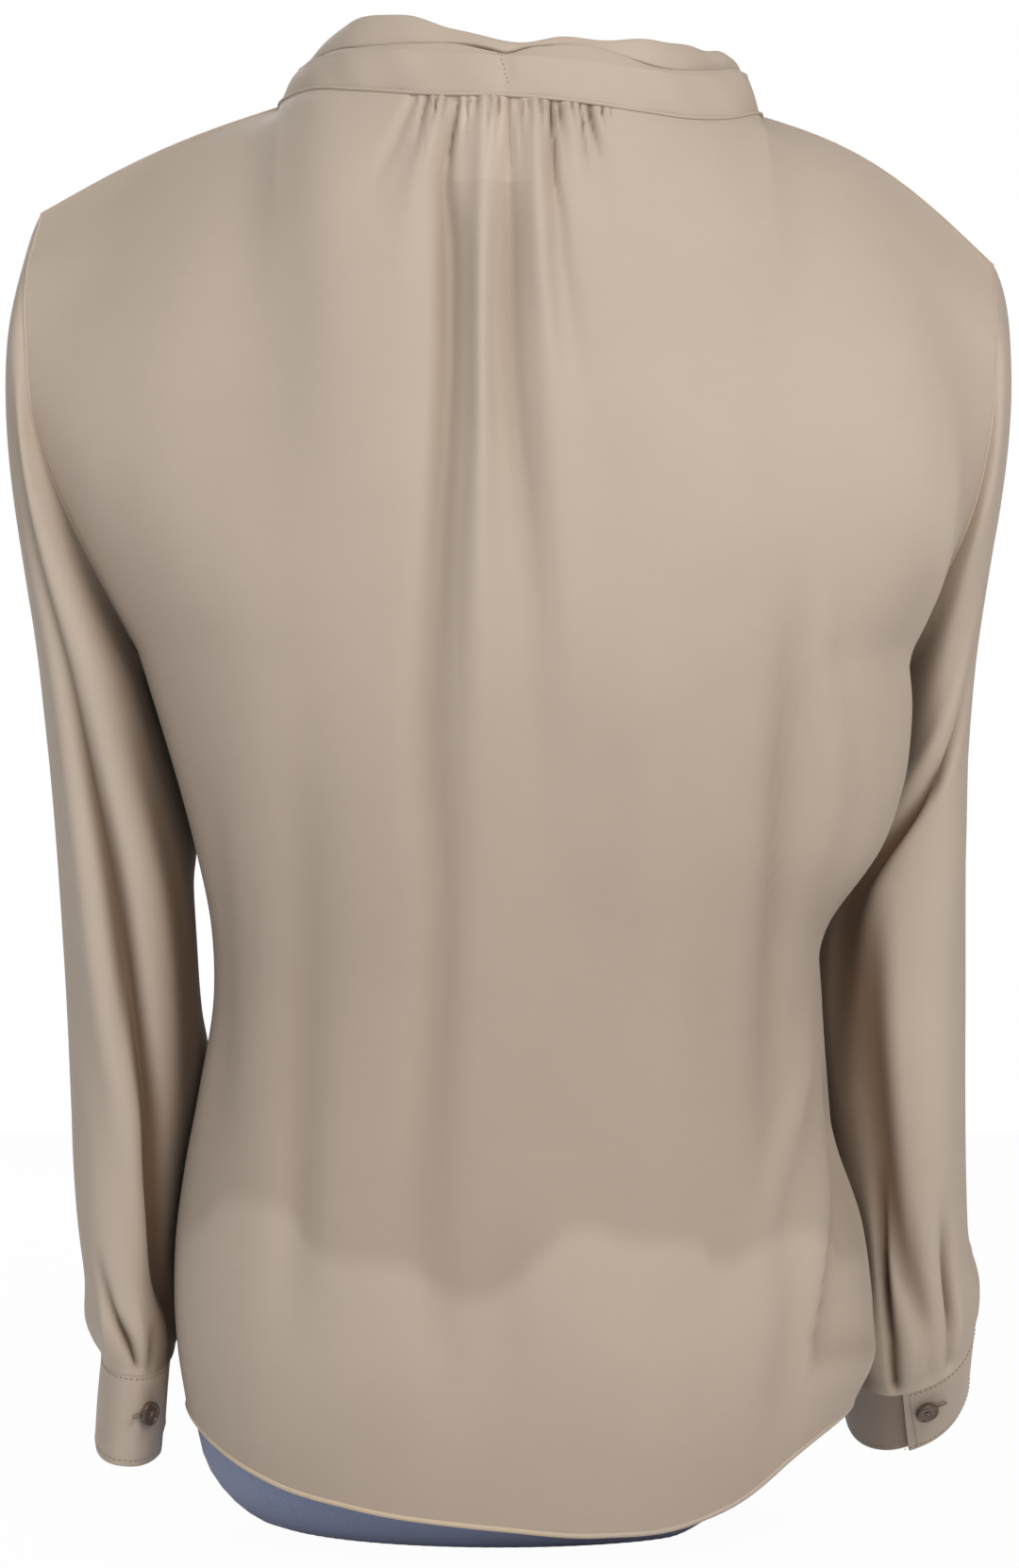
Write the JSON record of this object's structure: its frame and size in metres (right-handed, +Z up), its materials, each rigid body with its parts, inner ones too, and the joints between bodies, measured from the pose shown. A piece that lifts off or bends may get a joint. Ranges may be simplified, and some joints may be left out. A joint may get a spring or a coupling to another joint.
{
  "type": "blouse on a dress form",
  "caption": "Long-sleeved blouse with a gathered back neck, rolled band collar and buttoned cuffs, standing on a limbless dress form.",
  "frame": {"origin": "centre of the dress form's flat base", "axes": "+Z up, the blouse's front faces -Y and its back +Y, the wearer's left is +X"},
  "size_m": [0.4716, 0.2589, 0.7023],
  "materials": {
    "crepe": "fine matte crepe",
    "label": "woven tape",
    "button": "polished",
    "jersey": "knitted cover"
  },
  "bodies": {
    "root": {"back": "crepe", "front": "crepe", "left_sleeve": "crepe", "right_sleeve": "crepe", "left_cuff": "crepe", "right_cuff": "crepe", "collar_stand": "crepe", "collar_roll": "crepe", "neck_label": "label", "left_cuff_button": "button", "right_cuff_button": "button", "dress_form": "jersey"}
  },
  "joints": []
}
